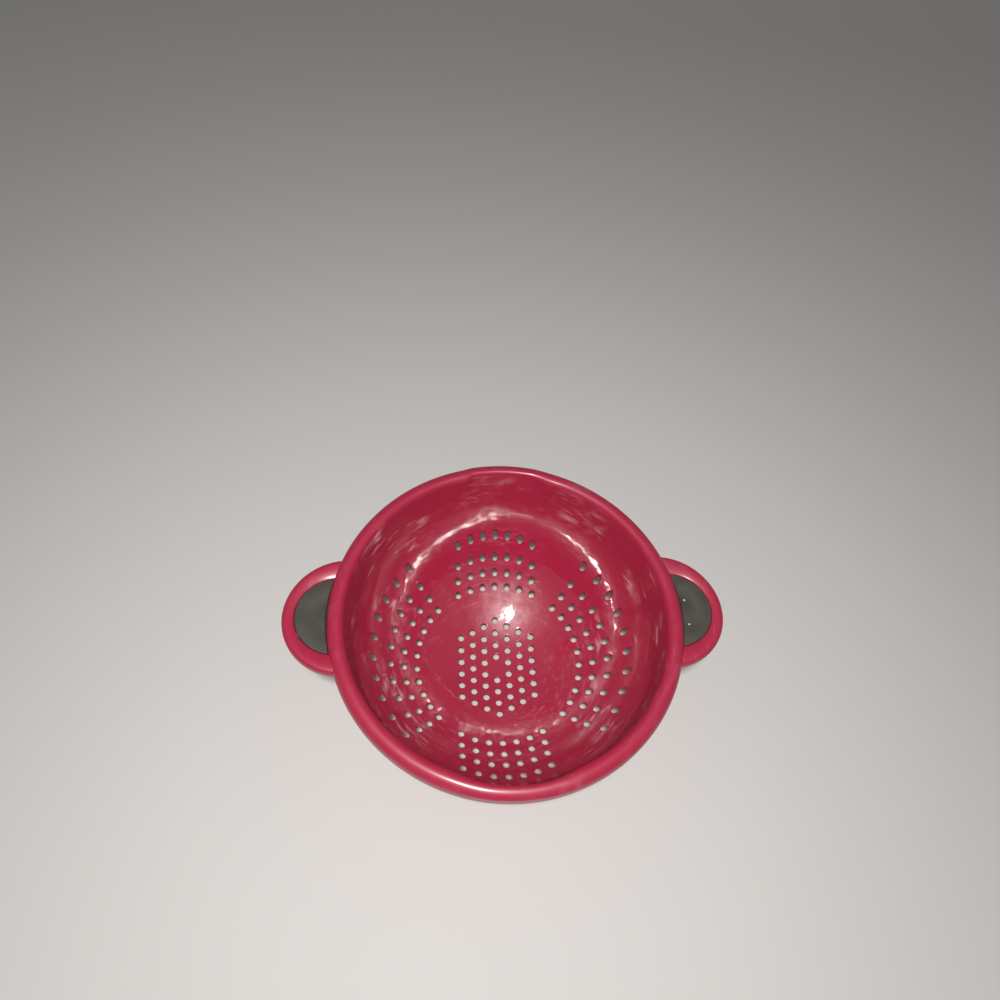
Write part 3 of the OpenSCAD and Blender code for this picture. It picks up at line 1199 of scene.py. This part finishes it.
def bar_section(turn):
    """Points round the bar at an angle, as (distance from the opening's centre, height)."""
    quarter, drop = math.pi / 2, crown_drop(turn)
    inner, outer = opening_radius + inner_round, outer_reach(turn) - loop_round
    brink = inner - inner_round * math.sin(crown_tilt)
    brink_z = loop_top - drop - inner_round * math.cos(crown_tilt)
    low_z, high_z = loop_bottom + loop_round, loop_top - loop_round
    points = arc_points(outer, high_z, loop_round, quarter, 0, 6)
    for s in (1 / 6, 1 / 3, 1 / 2, 2 / 3, 5 / 6):
        points.append((outer + (brink - outer) * s, loop_top - drop * s * s))
    points += arc_points(inner, brink_z, inner_round, -crown_tilt, -quarter, 5)
    points += arc_points(inner, loop_bottom + inner_round, inner_round, -quarter, -math.pi, 3)
    points += [(inner + (outer - inner) * s, loop_bottom) for s in (1 / 4, 1 / 2, 3 / 4)]
    return points + arc_points(outer, low_z, loop_round, -math.pi, -3 * quarter, 6)


print("the bar is", round((outer_reach(0) - opening_radius) / mm, 1), "mm wide at its tip")


# %% Where the lines of a loop end
def bar_point(turn, index):
    """A point of the bar at an angle, in the right-hand loop's plan."""
    reach, z = bar_section(turn)[index]
    return Vector((opening_centre + reach * math.cos(turn), reach * math.sin(turn), z))


def end_turn(index, side):
    """The angle at which a line along the bar runs into the rim's skirt."""
    low, high = 0.0, math.pi
    for _ in range(search_steps):
        middle = (low + high) / 2
        point = bar_point(side * middle, index)
        if math.hypot(point.x, point.y) > root_radius:
            low = middle
        else:
            high = middle
    return side * low


print("the first line ends at", round(math.degrees(end_turn(0, 1)), 1), "degrees")


# %% The loops
def make_loop(name, side):
    """A loop on the right (side 1) or the left (side -1)."""
    count = len(bar_section(0.0))
    ends = [(end_turn(k, -1), end_turn(k, 1)) for k in range(count)]
    verts = []
    for i in range(loop_steps + 1):
        for k, (first, last) in enumerate(ends):
            point = bar_point(first + (last - first) * i / loop_steps, k)
            verts.append((side * point.x, point.y, point.z))
    caps = [tuple(range(count)), tuple(loop_steps * count + k for k in range(count))]
    return mesh_object(name, verts, grid_faces(loop_steps + 1, count) + caps)


left_loop, right_loop = make_loop("left_loop", -1), make_loop("right_loop", 1)
print("loops:", left_loop.name, right_loop.name)

# %% [markdown]
# ## The soft grips
#
# A grip is a pad of soft grey plastic that fills a loop. It is round towards the loop and hollow
# towards the rim, with a thumb dish that leaves a level band along the outer side. A subdivided
# block would need many loops to keep that outline. So the pad is drawn in rings from the middle
# out, and the last rings round its edge down into the thin dark gap.

# %% Sizes of a grip
grip_gap, grip_round = 0.22 * mm, 0.7 * mm
grip_bottom = loop_bottom + 0.5 * mm
grip_start = (rim_radius + grip_gap + loop_reach - tip_width) / 2
grip_around, grip_rings = 160, 22
dish_depth, band_width = 1.5 * mm, 9.0 * mm
dish_slope, dish_shift = 0.42, 0.4
dish_ends, dish_ends_shift, dish_rim = 12 * mm, 0.2, 1.5 * mm
print("the gap round a grip is", round(grip_gap / mm, 2), "mm")


# %% The outline and the dish of a grip
def grip_reach(turn):
    """Distance from the grip's start point on the X axis to its outline along a direction."""
    reach = circle_reach(turn, grip_start - opening_centre, opening_radius - grip_gap)
    near_rim = rim_radius + grip_gap
    toward = grip_start * math.cos(turn)
    square = toward * toward - grip_start**2 + near_rim**2
    if square > 0 and -toward - math.sqrt(square) > 0:
        reach = min(reach, -toward - math.sqrt(square))
    return reach


def dish(x, y):
    """Depth of the thumb dish at a place: level along the outer band, sunk towards the rim."""
    out = math.hypot(x - opening_centre, y) / opening_radius
    slope = smooth_step((1 - band_width / opening_radius - out) / dish_slope + dish_shift)
    ends = smooth_step((opening_radius - abs(y)) / dish_ends - dish_ends_shift)
    return dish_depth * slope * ends


def grip_top(x, y):
    """Height of a grip's level face, which follows the inner edge of its loop."""
    return loop_top - crown_drop(math.atan2(y, x - opening_centre))


print("the dish is", round(dish(opening_centre - 8 * mm, 0) / mm, 1), "mm deep in the middle")


# %% The grips
def grip_rows():
    """The rings of a grip: how far out, how far round the edge, and whether above or below."""
    rows = [(i / grip_rings, 0.0, True) for i in range(1, grip_rings + 1)]
    rows += [(1.0, math.radians(angle), True) for angle in (30, 60, 90)]
    return rows + [(1.0, math.radians(angle), False) for angle in (90, 60, 30, 0)]


def grip_point(turn, share, bend, above):
    """A point of a ring, in the right-hand grip's plan."""
    full = grip_reach(turn)
    reach = (full - grip_round) * share + grip_round * math.sin(bend)
    x, y = grip_start + reach * math.cos(turn), reach * math.sin(turn)
    drop = grip_round * (1 - math.cos(bend))
    if not above:
        return x, y, grip_bottom + drop
    return x, y, grip_top(x, y) - dish(x, y) * smooth_step((full - reach) / dish_rim) - drop


def make_grip(name, side):
    """A grip on the right (side 1) or the left (side -1)."""
    turns, rows = [2 * math.pi * k / grip_around for k in range(grip_around)], grip_rows()
    verts = [(grip_start, 0, grip_top(grip_start, 0) - dish(grip_start, 0))]
    verts += [grip_point(turn, *row) for row in rows for turn in turns]
    verts.append((grip_start, 0, grip_bottom))
    last = len(verts) - 1
    faces = [(0, 1 + k, 1 + (k + 1) % grip_around) for k in range(grip_around)]
    faces += grid_faces(len(rows), grip_around, start=1)
    low = last - grip_around
    faces += [(low + k, low + (k + 1) % grip_around, last) for k in range(grip_around)]
    return mesh_object(name, [(side * x, y, z) for x, y, z in verts], faces)


left_grip, right_grip = make_grip("left_soft_grip", -1), make_grip("right_soft_grip", 1)
print("grips:", left_grip.name, right_grip.name)

# %% [markdown]
# ## Dressing the part
#
# Every piece gets its finish, rides on the part's one body, and takes the place of the plain
# solid of its name. Nothing on a colander moves, so there is one body and no joint.

# %% Dress and place the pieces
dressed = [
    (bowl, "bowl", bowl_crimson), (rim, "rim", rim_crimson), (foot_ring, "foot_ring", rim_crimson),
    (left_loop, "left_handle_loop", rim_crimson), (right_loop, "right_handle_loop", rim_crimson),
    (left_grip, "left_grip", grey), (right_grip, "right_grip", grey),
]
for piece, node, finish in dressed:
    piece.data.materials.clear()
    piece.data.materials.append(finish)
    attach(piece, "root")
    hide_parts(node)
print("triangles:", sum(sum(len(p.vertices) - 2 for p in o.data.polygons) for o, _, _ in dressed))
